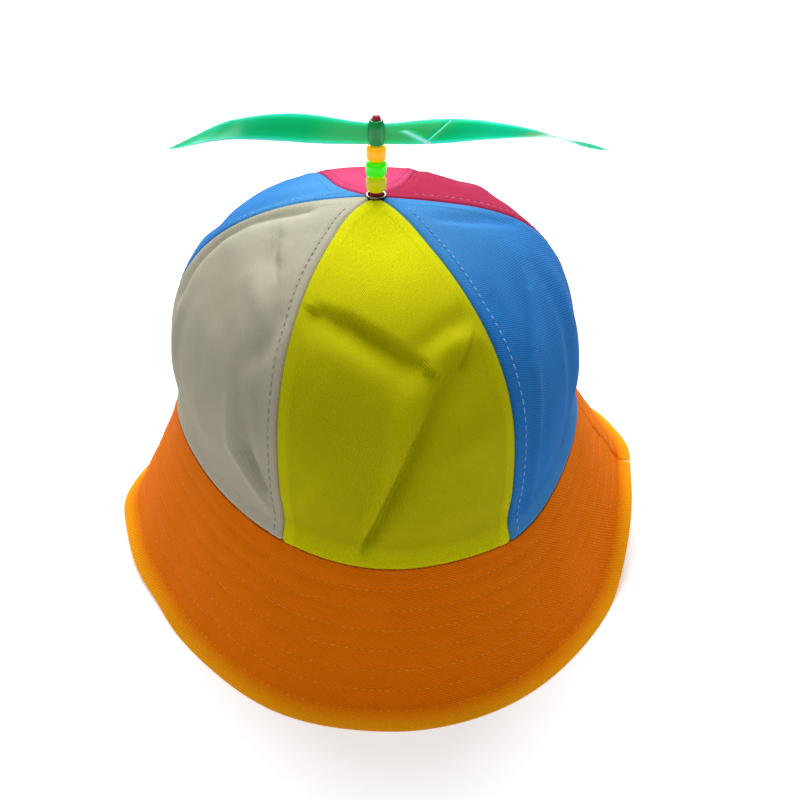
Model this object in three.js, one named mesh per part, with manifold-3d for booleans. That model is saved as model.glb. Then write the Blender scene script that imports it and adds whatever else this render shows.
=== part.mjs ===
// Six-panel cloth hat with a full drooping brim and a toy propeller on a beaded stem.
// Millimetres, +Z up, the hat's front towards -Y. It stands on its brim on the plane z = 0,
// with the stem on the Z axis.
import * as THREE from 'three';
import { mergeVertices } from 'three/addons/utils/BufferGeometryUtils.js';
import Module from 'manifold-3d';

// Crown, measured on the outside of the cloth
const crownHalfWidth = 83.1;
const crownHalfLength = 103;
const crownHeight = 98.5; // from the front of the crown seam to the top
const wallHeight = 20; // upright stretch above the front of the crown seam
const sideRise = 15.7; // how much higher the crown seam runs over the ears
const domeReachPower = 1.71;
const domeHeightPower = 3.21;
const crownCloth = 1.6;
const seamPinch = 1.5; // how deep each panel is drawn in along its seams
const seamPinchReach = 8; // how far from a seam the cloth is drawn in

// Brim
const seamHeight = 46.5; // front of the crown seam above the table
const rimHalfWidth = 109.3;
const rimHalfLength = 136;
const rimRightPower = 1.95; // how square the front of the rim is, 2 being an oval
const rimLeftPower = 1.86;
const rimFlankPower = 1.62; // it is pinched in just behind the sides
const rimBackPower = 2;
const flankStart = 0.35; // cosine from the side where the pinch is full
const flankEnd = 0.9; // and where it has gone
const rimRightLift = 23; // the brim is bent up beside the right-hand seam
const rimLeftLift = 2;
const liftStartFront = 0.78; // sine of the angle from the front where the rim leaves the table
const liftStartBack = 0.85;
const brimTurnTop = -11; // degrees by which the brim's halves are turned about the stem where
const brimTurnRim = -7.5; // they leave the crown, and at the rim
const brimCloth = 2.4;
const brimHollow = 2; // how far the brim sags below a straight fall

// Folds and fullness of the soft crown
const foldDepth = 4;
const foldWidth = 9;
const fullnessDepth = 5;
const fullnessWidth = 40;
const hemFade = 0.1; // share of the height over which folds fade at the crown seam
const topFade = 0.2; // and towards the eyelet
const driftPower = 1.8; // puts a seam's widest drift at two thirds of its height
const swingPower = 4; // keeps a seam's swing to its last stretch

// Clearances
const clothGap = 0.3;
const stackGap = 0.3;
const rodClearance = 0.3;

// Eyelet
const eyeletBore = 3.05;
const eyeletNeck = 3.5;
const eyeletFlange = 4.15;
const eyeletRimHeight = 0.9;
const eyeletBackFlange = 4.8;
const eyeletBackHeight = 0.6;

// Stem, one red moulding
const stemBaseRadius = 7;
const stemBaseHeight = 1.5;
const shoulderRadius = 2.3;
const shoulderRise = 1.9; // top of the shoulder above the crown's top
const rodRadius = 1.1;
const headRadius = 1.75;
const headHeight = 1.7;

// Beads, from the lowest up
const beadHeight = 5.9;
const beads = [
  { name: 'bead_lower', radius: 3.85, color: '#b2ad07', roughness: 0.35 },
  { name: 'bead_middle', radius: 4.0, color: '#33d409', roughness: 0.3 },
  { name: 'bead_upper', radius: 3.7, color: '#fbb70b', roughness: 0.3 },
];

// Propeller
const hubHeight = 9.5;
const hubRadius = 3.3;
const hubEndRadius = 2.5;
const rightArm = 86.5;
const leftArm = 78;
const rightDroop = 5.2; // how far each tip hangs below the hub's middle
const leftDroop = 7.2;
const bladeChord = 11.3;
const bladeThickness = 1.1;
const bladeEdge = 0.45;
const bladeArch = 3; // how far a blade first rises on its way out
const propellerTurn = -7.7; // degrees about the stem, how the propeller has come to rest

const crownTop = seamHeight + crownHeight;
const meanRadius = Math.sqrt(crownHalfWidth * crownHalfLength);
const clothHole = eyeletNeck + clothGap;

// Seams of the crown, degrees from the front towards +X where each meets the brim, how far it
// wanders at two thirds of its height, and how far it swings on its last stretch to the eyelet
const seams = [
  { angle: 29, drift: 0, swing: 4 },
  { angle: 97.5, drift: 0, swing: -17 },
  { angle: 150, drift: 5.5, swing: -23 },
  { angle: 206, drift: -10, swing: 32 },
  { angle: 262.5, drift: 1, swing: -3.5 },
  { angle: 328, drift: -2.5, swing: -19 },
];

const panels = [
  { name: 'panel_front', from: 5, to: 0, color: '#d2d206' },
  { name: 'panel_front_right', from: 0, to: 1, color: '#3f86cc' },
  { name: 'panel_back_right', from: 1, to: 2, color: '#e23b63' },
  { name: 'panel_back', from: 2, to: 3, color: '#e8507f' },
  { name: 'panel_back_left', from: 3, to: 4, color: '#4f9be0' },
  { name: 'panel_front_left', from: 4, to: 5, color: '#a8a292' },
];

// Folds in each panel. A fold runs between two places, each given as shares of the panel's
// width and height. Its width and depth are shares of foldWidth and foldDepth, and a
// negative depth is a dent.
const folds = {
  panel_front: [
    { across: 0.08, up: 0.62, toAcross: 0.6, toUp: 0.47, width: 1.1, depth: -0.9 },
    { across: 0.1, up: 0.7, toAcross: 0.66, toUp: 0.56, width: 1.2, depth: 0.45 },
    { across: 0.78, up: 0.5, toAcross: 0.46, toUp: 0.33, width: 1.1, depth: -0.55 },
    { across: 0.62, up: 0.36, toAcross: 0.3, toUp: 0.07, width: 0.7, depth: -0.45 },
    { across: 0.1, up: 0.03, toAcross: 0.9, toUp: 0.03, width: 0.9, depth: 0.3 },
  ],
  panel_front_right: [
    { across: 0.5, up: 0.55, toAcross: 0.3, toUp: 0.02, width: 0.8, depth: 0.5 },
    { across: 0.68, up: 0.5, toAcross: 0.5, toUp: 0.05, width: 1.0, depth: -0.6 },
    { across: 0.3, up: 0.8, toAcross: 0.95, toUp: 0.66, width: 0.9, depth: -0.5 },
    { across: 0.22, up: 0.62, toAcross: 0.14, toUp: 0.15, width: 0.9, depth: -0.4 },
  ],
  panel_back_right: [
    { across: 0.15, up: 0.45, toAcross: 0.75, toUp: 0.3, width: 1.2, depth: -0.6 },
    { across: 0.35, up: 0.7, toAcross: 0.6, toUp: 0.45, width: 1.2, depth: 0.35 },
  ],
  panel_back: [
    { across: 0.2, up: 0.5, toAcross: 0.8, toUp: 0.42, width: 1.3, depth: -0.6 },
    { across: 0.5, up: 0.3, toAcross: 0.45, toUp: 0.05, width: 1.1, depth: 0.4 },
  ],
  panel_back_left: [
    { across: 0.25, up: 0.35, toAcross: 0.8, toUp: 0.5, width: 1.2, depth: -0.6 },
    { across: 0.6, up: 0.8, toAcross: 0.9, toUp: 0.62, width: 1.0, depth: -0.4 },
  ],
  panel_front_left: [
    { across: 0.1, up: 0.8, toAcross: 0.07, toUp: 0.33, width: 0.8, depth: -0.7 },
    { across: 0.5, up: 0.66, toAcross: 0.4, toUp: 0.54, width: 1.5, depth: -0.5 },
    { across: 0.7, up: 0.36, toAcross: 0.78, toUp: 0.1, width: 0.7, depth: -0.5 },
    { across: 0.58, up: 0.3, toAcross: 0.66, toUp: 0.06, width: 0.7, depth: 0.45 },
    { across: 0.25, up: 0.3, toAcross: 0.3, toUp: 0.05, width: 1.0, depth: -0.35 },
  ],
};

// Where the crown stands fuller or flatter than an even dome: angle from the front, height as
// a share of the way up, size as a share of fullnessDepth
const fullness = [
  { angle: 266, up: 0.62, size: 0.5 },
  { angle: 228, up: 0.74, size: -0.3 },
  { angle: 175, up: 0.8, size: -0.3 },
  { angle: 122, up: 0.62, size: -0.15 },
  { angle: 98, up: 0.42, size: 0.4 },
  { angle: 78, up: 0.2, size: -0.36 },
  { angle: 70, up: 0.6, size: 0.2 },
];

// Where the crown seam hangs lower: degrees from the front, mm, and degrees over which it fades
const seamSags = [
  { angle: 36, depth: 6.3, spread: 17 },
  { angle: 92, depth: 3.5, spread: 16 },
  { angle: -105, depth: 9, spread: 20 },
];

// Where the rim stands out or in from its even oval: degrees from the front, mm, and degrees
// over which it fades
const rimSwells = [
  { angle: -27, reach: 3, spread: 15 },
  { angle: -63, reach: -1.3, spread: 7 },
  { angle: -92, reach: 1.6, spread: 6 },
  { angle: -112, reach: -3.2, spread: 11 },
  { angle: 38, reach: -1, spread: 14 },
  { angle: 87, reach: 2.4, spread: 6 },
  { angle: 106, reach: -2.5, spread: 10 },
];

// Blade sections: pitch in degrees from level, the rest as shares of the arm's length, of
// bladeChord, of bladeArch and of the arm's droop at its tip
const bladeSections = [
  { along: 0, chord: 0.73, pitch: 88, arch: 0, droop: 0 },
  { along: 0.1, chord: 0.8, pitch: 87, arch: 0.15, droop: 0 },
  { along: 0.2, chord: 0.91, pitch: 84, arch: 0.35, droop: 0 },
  { along: 0.3, chord: 0.96, pitch: 77, arch: 0.55, droop: 0 },
  { along: 0.4, chord: 0.93, pitch: 69, arch: 0.68, droop: 0 },
  { along: 0.5, chord: 0.88, pitch: 59, arch: 0.65, droop: 0 },
  { along: 0.6, chord: 0.8, pitch: 49, arch: 0.52, droop: 0 },
  { along: 0.68, chord: 0.75, pitch: 39, arch: 0.32, droop: 0 },
  { along: 0.77, chord: 0.73, pitch: 22, arch: 0.1, droop: 0.15 },
  { along: 0.88, chord: 0.62, pitch: 7, arch: 0, droop: 0.54 },
  { along: 0.95, chord: 0.4, pitch: 2, arch: 0, droop: 0.82 },
  { along: 1, chord: 0.06, pitch: 0, arch: 0, droop: 1 },
];

// Grid counts
const panelColumns = 12;
const panelRows = 17;
const brimColumns = 38;
const brimRows = 6;
const bladeColumns = 16;
const bladeRows = 4;
const roundSides = 14;

const wasm = await Module();
wasm.setup();

const toRadians = THREE.MathUtils.degToRad;
const mix = THREE.MathUtils.lerp;
const smoothstep = THREE.MathUtils.smoothstep;

// The turn from a direction in degrees to an angle, the short way round
function turnFrom(degrees, angle) {
  const turn = angle - toRadians(degrees);
  return Math.atan2(Math.sin(turn), Math.cos(turn));
}

// A closed box of faces, bent so that each corner of its grid goes where place() says
function bentBox(columns, rows, place) {
  const box = new THREE.BoxGeometry(1, 1, 1, columns, rows, 1);
  box.deleteAttribute('normal');
  box.deleteAttribute('uv');
  const bent = mergeVertices(box);
  const position = bent.getAttribute('position');
  for (let i = 0; i < position.count; i += 1) {
    const point = place(position.getX(i) + 0.5, position.getY(i) + 0.5, position.getZ(i) + 0.5);
    position.setXYZ(i, point.x, point.y, point.z);
  }
  return bent;
}

// A turned ring or solid about Z from a profile of [radius, height] pairs
function turned(profile, closed) {
  const points = profile.map(([radius, height]) => new THREE.Vector2(radius, height));
  if (closed) points.push(points[0].clone());
  const lathe = new THREE.LatheGeometry(points, roundSides);
  lathe.rotateX(Math.PI / 2);
  lathe.deleteAttribute('normal');
  lathe.deleteAttribute('uv');
  return mergeVertices(lathe, 1e-4);
}

function toSolid(geometry) {
  return new wasm.Manifold(new wasm.Mesh({
    numProp: 3,
    vertProperties: new Float32Array(geometry.getAttribute('position').array),
    triVerts: new Uint32Array(geometry.getIndex().array),
  }));
}

function fromSolid(solid) {
  const mesh = solid.getMesh();
  const geometry = new THREE.BufferGeometry();
  geometry.setAttribute('position', new THREE.BufferAttribute(mesh.vertProperties, mesh.numProp));
  geometry.setIndex(new THREE.BufferAttribute(mesh.triVerts, 1));
  return geometry;
}

function piece(name, geometry, color, roughness, metalness = 0) {
  geometry.computeVertexNormals();
  const mesh = new THREE.Mesh(
    geometry,
    new THREE.MeshStandardMaterial({ color, roughness, metalness }),
  );
  mesh.name = name;
  return mesh;
}

// The dome's profile: reach 1 at the wall and 0 at the top, against height above the seam
const profileSteps = 240;
const domeProfile = [];
for (let i = 0; i <= profileSteps; i += 1) {
  const angle = (i / profileSteps) * (Math.PI / 2);
  const reach = Math.max(Math.cos(angle), 0) ** (2 / domeReachPower);
  const height = wallHeight + (crownHeight - wallHeight) * Math.sin(angle) ** (2 / domeHeightPower);
  const last = domeProfile[i - 1];
  const step = last ? Math.hypot((reach - last.reach) * meanRadius, height - last.height) : 0;
  domeProfile.push({ reach, height, length: last ? last.length + step : 0 });
}

function domeAt(length) {
  const above = domeProfile.findIndex((row) => row.length >= length);
  if (above < 1) return above < 0 ? domeProfile[profileSteps] : domeProfile[0];
  const low = domeProfile[above - 1];
  const high = domeProfile[above];
  const share = (length - low.length) / (high.length - low.length);
  return { reach: mix(low.reach, high.reach, share), height: mix(low.height, high.height, share) };
}

const domeLength = domeProfile[profileSteps].length - clothHole;

function seamRise(angle) {
  const sag = seamSags.reduce((sum, part) => {
    const turn = turnFrom(part.angle, angle) / toRadians(part.spread);
    return sum + part.depth * Math.exp(-(turn ** 2));
  }, 0);
  return sideRise * Math.sin(angle) ** 2 - sag;
}

// A place on the even dome: angle from the front, and share of the way up from the crown seam.
// The cloth turns from the oval of the head to the round eyelet near the top.
function crownSurface(angle, up) {
  const wall = wallHeight - seamRise(angle);
  const climbed = up * (wall + domeLength);
  const row = climbed < wall
    ? { reach: 1, height: seamRise(angle) + climbed }
    : domeAt(climbed - wall);
  const oval = smoothstep(row.reach, 0, 0.4);
  return new THREE.Vector3(
    mix(meanRadius, crownHalfWidth, oval) * row.reach * Math.sin(angle),
    -mix(meanRadius, crownHalfLength, oval) * row.reach * Math.cos(angle),
    seamHeight + row.height,
  );
}

function crownNormal(angle, up) {
  const step = 0.002;
  const low = Math.max(up - step, 0);
  const high = Math.min(up + step, 1);
  const around = crownSurface(angle + step, up).sub(crownSurface(angle - step, up));
  const climb = crownSurface(angle, high).sub(crownSurface(angle, low));
  return around.cross(climb).normalize();
}

function seamAngle(seam, up) {
  const drift = seam.drift * Math.sin(Math.PI * up ** driftPower);
  return toRadians(seam.angle + drift + seam.swing * up ** swingPower);
}

// Height of the dents, folds and fullness over the even dome, fading out at seams and edges
function crownRelief(panel, across, up, angle, width, height) {
  let relief = 0;
  for (const fold of folds[panel.name]) {
    const run = { x: (fold.toAcross - fold.across) * width, y: (fold.toUp - fold.up) * height };
    const off = { x: (across - fold.across) * width, y: (up - fold.up) * height };
    const along = (off.x * run.x + off.y * run.y) / (run.x ** 2 + run.y ** 2);
    const share = THREE.MathUtils.clamp(along, 0, 1);
    const distance = Math.hypot(off.x - share * run.x, off.y - share * run.y);
    relief += fold.depth * foldDepth * Math.exp(-((distance / (fold.width * foldWidth)) ** 2));
  }
  const fromSeam = Math.min(across, 1 - across) * width;
  relief *= smoothstep(fromSeam, 0, seamPinchReach);
  relief -= seamPinch * (1 - smoothstep(fromSeam, 0, seamPinchReach));
  for (const swell of fullness) {
    const turn = turnFrom(swell.angle, angle);
    const distance = Math.hypot(turn * meanRadius * 0.8, (up - swell.up) * height);
    relief += swell.size * fullnessDepth * Math.exp(-((distance / fullnessWidth) ** 2));
  }
  return relief * smoothstep(up, 0, hemFade) * (1 - smoothstep(up, 1 - topFade, 1));
}

function panelGeometry(panel) {
  const first = seams[panel.from];
  const second = seams[panel.to];
  return bentBox(panelColumns, panelRows, (across, up, outside) => {
    let start = seamAngle(first, up);
    let end = seamAngle(second, up);
    if (end < start) start -= 2 * Math.PI;
    const edge = crownSurface(start, up);
    const halfGap = clothGap / 2 / Math.hypot(edge.x, edge.y);
    start += halfGap;
    end -= halfGap;
    const angle = mix(start, end, across);
    const place = crownSurface(angle, up);
    const width = (end - start) * Math.hypot(place.x, place.y);
    const height = wallHeight - seamRise(angle) + domeLength;
    const lift = crownRelief(panel, across, up, angle, width, height);
    const depth = lift - (1 - outside) * crownCloth;
    return place.addScaledVector(crownNormal(angle, up), depth);
  });
}

function rimPlace(angle) {
  const side = Math.sin(angle);
  const front = Math.cos(angle);
  const frontPower = side > 0 ? rimRightPower : rimLeftPower;
  const flankPower = mix(rimFlankPower, rimBackPower, smoothstep(-front, flankStart, flankEnd));
  const power = mix(frontPower, flankPower, smoothstep(-front, 0, flankStart));
  const reach = (Math.abs(side) ** power + Math.abs(front) ** power) ** (-1 / power);
  const lift = side > 0 ? rimRightLift : rimLeftLift;
  const start = front > 0 ? liftStartFront : liftStartBack;
  const place = new THREE.Vector2(rimHalfWidth * side * reach, -rimHalfLength * front * reach);
  let swell = 0;
  for (const part of rimSwells) {
    const turn = turnFrom(part.angle, angle) / toRadians(part.spread);
    swell += part.reach * Math.exp(-(turn ** 2));
  }
  place.setLength(place.length() + swell);
  return new THREE.Vector3(place.x, place.y, lift * smoothstep(Math.abs(side), start, 1));
}

// The brim falls away from under the crown seam. Both its edges are cut level, so the crown
// lands on the inner one and the rim stands on the outer one. Each half goes a quarter turn to
// both sides of its middle, as far as the side seams.
function brimGeometry(middleAngle) {
  const spread = Math.PI / 2 - clothGap / 2 / crownHalfWidth;
  return bentBox(brimColumns, brimRows, (across, inward, outside) => {
    const out = 1 - inward;
    const turn = toRadians(mix(brimTurnTop, brimTurnRim, out));
    const angle = middleAngle + turn + mix(-spread, spread, across);
    const top = new THREE.Vector3(
      crownHalfWidth * Math.sin(angle),
      -crownHalfLength * Math.cos(angle),
      seamHeight + seamRise(angle) - clothGap,
    );
    const rim = rimPlace(angle);
    const level = new THREE.Vector3(rim.x - top.x, rim.y - top.y, 0);
    const slope = Math.atan2(top.z - rim.z, level.length());
    level.normalize();
    const place = top.lerp(rim, out);
    const sag = brimHollow * Math.sin(Math.PI * out);
    place.addScaledVector(level, -sag * Math.sin(slope));
    place.z -= sag * Math.cos(slope);
    return place.addScaledVector(level, -(1 - outside) * brimCloth / Math.sin(slope));
  });
}

// Eyelet: a metal ring set through the cloth, with a rolled rim above and a flange below
function eyeletGeometry() {
  const seat = crownTop + clothGap;
  const back = crownTop - crownCloth - 2 * clothGap;
  return turned([
    [eyeletBore, back - eyeletBackHeight],
    [eyeletBackFlange, back - eyeletBackHeight],
    [eyeletBackFlange, back],
    [eyeletNeck, back],
    [eyeletNeck, seat],
    [eyeletFlange, seat],
    [eyeletFlange, seat + eyeletRimHeight * 0.45],
    [mix(eyeletFlange, eyeletBore, 0.25), seat + eyeletRimHeight * 0.9],
    [mix(eyeletFlange, eyeletBore, 0.55), seat + eyeletRimHeight],
    [mix(eyeletFlange, eyeletBore, 0.85), seat + eyeletRimHeight * 0.75],
    [eyeletBore, seat + eyeletRimHeight * 0.3],
  ], true);
}

const shoulderTop = crownTop + shoulderRise;
const beadBase = shoulderTop + stackGap;
const beadPitch = beadHeight + stackGap;
const hubBase = beadBase + beads.length * beadPitch;
const headBase = hubBase + hubHeight + stackGap;
const stemBore = rodRadius + rodClearance;

// Stem: hidden disc under the crown, a shoulder through the eyelet, the rod and its round head
function stemGeometry() {
  const discTop = crownTop - crownCloth - 2 * clothGap - eyeletBackHeight - clothGap;
  const profile = [
    [0, discTop - stemBaseHeight],
    [stemBaseRadius, discTop - stemBaseHeight],
    [stemBaseRadius, discTop],
    [shoulderRadius, discTop],
    [shoulderRadius, shoulderTop],
    [rodRadius, shoulderTop],
    [rodRadius, headBase],
    [headRadius, headBase],
  ];
  const domeSteps = 4;
  for (let i = 1; i <= domeSteps; i += 1) {
    const angle = (i / domeSteps) * (Math.PI / 2);
    const radius = i === domeSteps ? 0 : headRadius * Math.cos(angle);
    profile.push([radius, headBase + headHeight * Math.sin(angle)]);
  }
  return turned(profile, false);
}

// A barrel bead drilled for the rod
function beadGeometry(radius, base) {
  return turned([
    [stemBore, base],
    [radius * 0.7, base],
    [radius * 0.9, base + beadHeight * 0.08],
    [radius * 0.985, base + beadHeight * 0.26],
    [radius, base + beadHeight * 0.5],
    [radius * 0.985, base + beadHeight * 0.74],
    [radius * 0.9, base + beadHeight * 0.92],
    [radius * 0.7, base + beadHeight],
    [stemBore, base + beadHeight],
  ], true);
}

function hubGeometry() {
  return turned([
    [stemBore, hubBase],
    [hubEndRadius, hubBase],
    [mix(hubEndRadius, hubRadius, 0.6), hubBase + hubHeight * 0.16],
    [hubRadius, hubBase + hubHeight * 0.4],
    [hubRadius, hubBase + hubHeight * 0.6],
    [mix(hubEndRadius, hubRadius, 0.6), hubBase + hubHeight * 0.84],
    [hubEndRadius, hubBase + hubHeight],
    [stemBore, hubBase + hubHeight],
  ], true);
}

function sectionAt(along) {
  const above = Math.max(bladeSections.findIndex((row) => row.along >= along), 1);
  const low = bladeSections[above - 1];
  const high = bladeSections[above];
  const share = (along - low.along) / (high.along - low.along);
  return {
    chord: mix(low.chord, high.chord, share) * bladeChord,
    pitch: toRadians(mix(low.pitch, high.pitch, share)),
    arch: mix(low.arch, high.arch, share) * bladeArch,
    droop: mix(low.droop, high.droop, share),
  };
}

// A twisted, drooping blade along +X, steep where it leaves the hub and nearly level at its tip
function bladeGeometry(arm, tipDroop) {
  const root = (stemBore + hubEndRadius) / 2;
  const middle = hubBase + (bladeSections[0].chord * bladeChord) / 2;
  return bentBox(bladeColumns, bladeRows, (along, across, face) => {
    const section = sectionAt(along);
    const off = across - 0.5;
    const body = mix(bladeEdge, bladeThickness, Math.sqrt(1 - 4 * off * off * 0.98));
    const thin = body * mix(1, 0.5, along) * (face - 0.5);
    const upward = new THREE.Vector3(0, -Math.cos(section.pitch), Math.sin(section.pitch));
    const outward = new THREE.Vector3(0, -Math.sin(section.pitch), -Math.cos(section.pitch));
    const rise = section.arch - section.droop * tipDroop;
    const place = new THREE.Vector3(mix(root, arm, along), 0, middle + rise);
    return place.addScaledVector(upward, off * section.chord).addScaledVector(outward, thin);
  });
}

function propellerGeometry() {
  const left = bladeGeometry(leftArm, leftDroop).rotateZ(Math.PI);
  const joined = toSolid(hubGeometry())
    .add(toSolid(bladeGeometry(rightArm, rightDroop)))
    .add(toSolid(left));
  return fromSolid(joined).rotateZ(toRadians(propellerTurn));
}

const hat = new THREE.Group();
for (const panel of panels) {
  hat.add(piece(panel.name, panelGeometry(panel), panel.color, 0.9));
}
hat.add(piece('brim_front', brimGeometry(0), '#c9650c', 0.9));
hat.add(piece('brim_back', brimGeometry(Math.PI), '#c9650c', 0.9));
hat.add(piece('eyelet', eyeletGeometry(), '#b9b6ae', 0.25, 1));
hat.add(piece('stem', stemGeometry(), '#a81c38', 0.35));
beads.forEach((bead, index) => {
  const base = beadBase + index * beadPitch;
  hat.add(piece(bead.name, beadGeometry(bead.radius, base), bead.color, bead.roughness));
});
hat.add(piece('propeller', propellerGeometry(), '#18c07c', 0.2));

export default hat;
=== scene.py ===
# Propeller beanie: sewn twill panels, a drooping brim with rows of stitching, an eyelet, and a
# toy propeller on a beaded stem. Sizes are millimetres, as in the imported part, and each mesh is
# turned to metres at its end.
import math

import bmesh
import bpy
import numpy as np
from mathutils import Matrix, Vector, noise


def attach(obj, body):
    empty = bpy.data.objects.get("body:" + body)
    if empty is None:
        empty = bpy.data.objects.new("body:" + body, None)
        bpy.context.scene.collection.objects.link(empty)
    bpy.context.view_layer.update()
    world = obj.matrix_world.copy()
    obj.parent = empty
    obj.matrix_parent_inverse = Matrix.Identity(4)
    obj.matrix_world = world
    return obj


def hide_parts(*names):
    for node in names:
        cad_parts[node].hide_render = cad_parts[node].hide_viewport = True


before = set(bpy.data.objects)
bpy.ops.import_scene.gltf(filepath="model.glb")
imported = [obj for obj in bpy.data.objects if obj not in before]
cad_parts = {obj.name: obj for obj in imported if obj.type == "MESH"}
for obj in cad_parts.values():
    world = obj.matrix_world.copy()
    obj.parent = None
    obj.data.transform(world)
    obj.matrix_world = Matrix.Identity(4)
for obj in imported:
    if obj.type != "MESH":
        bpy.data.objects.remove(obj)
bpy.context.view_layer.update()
mm = 0.001
scene = bpy.context.scene


# Small helpers

def mix(a, b, t):
    return a + (b - a) * t


def smooth(x, low, high):
    t = np.clip((x - low) / (high - low), 0, 1)
    return t * t * (3 - 2 * t)


def unit(v):
    return v / np.maximum(np.linalg.norm(v, axis=-1, keepdims=True), 1e-9)


def turnBetween(angle, middle):
    return np.arctan2(np.sin(angle - middle), np.cos(angle - middle))


def ripple(points, size, seed):
    # gentle noise from -1 to 1, one value a point, with waves about size mm long
    shift = Vector((seed, seed * 0.7, -seed))
    return np.array([noise.noise(Vector(p) / size + shift) for p in points])


def surfaceNormal(place, a, b, step=0.003):
    around = place(a + step, b) - place(a - step, b)
    climb = place(a, np.minimum(b + step, 1)) - place(a, np.maximum(b - step, 0))
    return unit(np.cross(around, climb))


def addObject(name, mesh, material, body="hat"):
    piece = bpy.data.objects.new(name, mesh)
    scene.collection.objects.link(piece)
    mesh.materials.append(material)
    mesh.shade_smooth()
    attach(piece, body)
    return piece


def shellMesh(name, columns, rows, outer, inner):
    # a flat grid is extruded once; its two sides then go where outer and inner say, and every
    # point keeps its place on the cloth, in mm, and its share of painted light, as the attribute
    # that the weave and the painted light read
    bm = bmesh.new()
    placeAndLight = bm.verts.layers.float_vector.new("placeAndLight")
    bmesh.ops.create_grid(bm, x_segments=columns, y_segments=rows, size=0.5)
    upper = list(bm.verts)
    flat = np.array([v.co[:2] for v in upper]) + 0.5
    below = bmesh.ops.extrude_face_region(bm, geom=list(bm.faces), use_keep_orig=True)
    lower = [g for g in below["geom"] if isinstance(g, bmesh.types.BMVert)]
    flatLower = np.array([v.co[:2] for v in lower]) + 0.5
    for verts, at, side in ((upper, flat, outer), (lower, flatLower, inner)):
        places, cloth = side(at[:, 0], at[:, 1])
        for v, p, c in zip(verts, places, cloth):
            v.co = Vector(p) * mm
            v[placeAndLight] = c
    bmesh.ops.recalc_face_normals(bm, faces=bm.faces)
    mesh = bpy.data.meshes.new(name)
    bm.to_mesh(mesh)
    bm.free()
    return mesh


def turnedMesh(name, profile, steps=48):
    # a closed profile of (radius, height) spun about the stem's axis
    bm = bmesh.new()
    ring = [bm.verts.new((r * mm, 0, z * mm)) for r, z in profile]
    edges = [bm.edges.new((ring[i - 1], ring[i])) for i in range(len(ring))]
    bmesh.ops.spin(bm, geom=ring + edges, cent=(0, 0, 0), axis=(0, 0, 1),
                   angle=2 * math.pi, steps=steps, use_merge=True)
    bmesh.ops.remove_doubles(bm, verts=bm.verts, dist=1e-6)
    bmesh.ops.recalc_face_normals(bm, faces=bm.faces)
    mesh = bpy.data.meshes.new(name)
    bm.to_mesh(mesh)
    bm.free()
    return mesh


def stitchMesh(name, rows, thread):
    # rows: (points, normals) along each line of sewing, dense enough to walk along. Each stitch
    # is a flattened bead of thread, with ends that go a little way into the cloth.
    bm = bmesh.new()
    for points, normals in rows:
        steps = np.linalg.norm(np.diff(points, axis=0), axis=1)
        walked = np.concatenate([[0], np.cumsum(steps)])
        count = int(walked[-1] // thread["pitch"])
        for i in range(count):
            ends = []
            for share in (0.5 - thread["share"] / 2, 0.5 + thread["share"] / 2):
                d = (i + share) * thread["pitch"]
                ends.append(np.array([np.interp(d, walked, points[:, k]) for k in range(3)]))
            d = (i + 0.5) * thread["pitch"]
            up = unit(np.array([np.interp(d, walked, normals[:, k]) for k in range(3)]))
            along = unit(ends[1] - ends[0])
            side = np.cross(up, along)
            middle = (ends[0] + ends[1]) / 2 + up * thread["lift"]
            half = np.linalg.norm(ends[1] - ends[0]) / 2 + thread["radius"] * thread["overrun"]
            place = Matrix.Identity(4)
            for k in range(3):
                place[k][0] = along[k] * half * mm
                place[k][1] = side[k] * thread["radius"] * mm
                place[k][2] = up[k] * thread["radius"] * thread["flatness"] * mm
                place[k][3] = middle[k] * mm
            bmesh.ops.create_icosphere(bm, subdivisions=1, radius=1, matrix=place)
    mesh = bpy.data.meshes.new(name)
    bm.to_mesh(mesh)
    bm.free()
    return mesh


# Materials

def linear(hexColour):
    # a screen colour as linear light, with full alpha
    parts = [int(hexColour[i:i + 2], 16) / 255 for i in (1, 3, 5)]
    return [p / 12.92 if p <= 0.04045 else ((p + 0.055) / 1.055) ** 2.4 for p in parts] + [1.0]


def fill(tree, n, settings, links):
    # settings are a node's properties or input values, links its inputs' sources, where _0 is
    # the input with index 0
    for key, value in settings.items():
        if isinstance(key, str) and hasattr(n, key):
            setattr(n, key, value)
        else:
            n.inputs[key].default_value = value
    for key, source in links.items():
        socket = n.inputs[int(key[1:])] if key[1:].isdigit() else n.inputs[key.replace("_", " ")]
        tree.links.new(source, socket)
    return n


def node(tree, kind, settings=None, **links):
    return fill(tree, tree.nodes.new(kind), settings or {}, links)


def noiseNode(tree, scale, detail, roughness=0.5, source=None):
    # noise in the object's own space, unless it has a source of its own
    source = source or node(tree, "ShaderNodeTexCoord").outputs["Object"]
    settings = {"Scale": scale, "Detail": detail, "Roughness": roughness}
    return node(tree, "ShaderNodeTexNoise", settings, Vector=source).outputs["Fac"]


def rangeNode(tree, source, low, high):
    settings = {"To Min": low, "To Max": high}
    return node(tree, "ShaderNodeMapRange", settings, Value=source).outputs[0]


def bumpNode(tree, source, strength, depth):
    settings = {"Strength": strength, "Distance": depth * mm}
    return node(tree, "ShaderNodeBump", settings, Height=source).outputs[0]


def addPart(tree, base, source, share):
    # base, with a share of source added
    settings = {"operation": "MULTIPLY_ADD", 1: share}
    return node(tree, "ShaderNodeMath", settings, _0=source, _2=base).outputs[0]


def newMaterial(name):
    material = bpy.data.materials.new(name)
    material.use_nodes = True
    tree = material.node_tree
    tree.nodes.clear()
    shader = tree.nodes.new("ShaderNodeBsdfPrincipled")
    out = tree.nodes.new("ShaderNodeOutputMaterial")
    tree.links.new(shader.outputs[0], out.inputs[0])
    return material, tree, shader


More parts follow.
